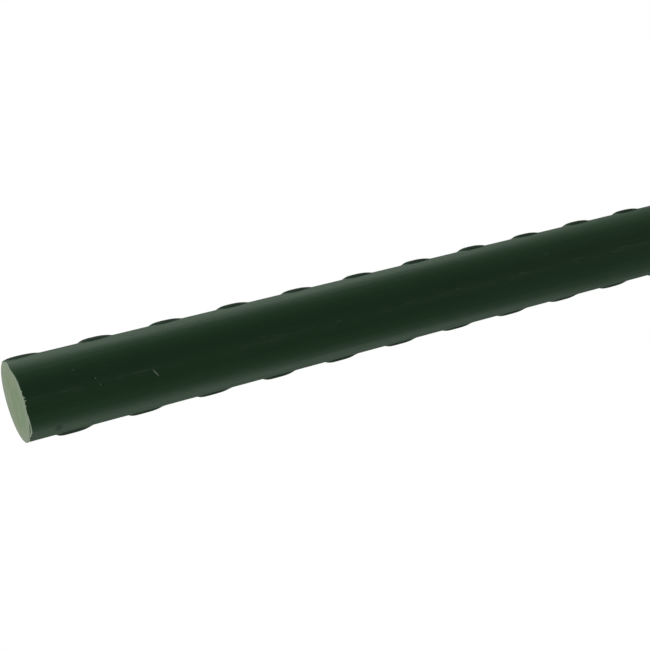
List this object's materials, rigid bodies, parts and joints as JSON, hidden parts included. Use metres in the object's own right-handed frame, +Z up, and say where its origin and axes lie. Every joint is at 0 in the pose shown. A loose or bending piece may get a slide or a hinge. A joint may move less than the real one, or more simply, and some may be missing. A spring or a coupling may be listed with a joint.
{
  "type": "plant stake",
  "caption": "Straight round garden stake: a plastic-sheathed steel tube with staggered rows of climbing nubs, a flush plug in the top and a pointed ground tip.",
  "frame": {"origin": "the point of the ground tip, on the axis of the stake", "axes": "+Z up along the stake, from the tip to the plug; +X towards the row of nubs that starts at the upper end, -X towards the opposite row"},
  "size_m": [0.0169, 0.016, 0.9003],
  "materials": {
    "galvanised_steel": "thin zinc coat, hidden inside the sheath",
    "dark_green_plastic": "satin, fine lines along the stake",
    "pale_plastic": "matte, slightly mottled",
    "tip_plastic": "satin, moulded"
  },
  "bodies": {
    "root": {"steel_tube": "galvanised_steel", "plastic_sheath": "dark_green_plastic", "end_plug": "pale_plastic", "ground_tip": "tip_plastic"}
  },
  "joints": []
}
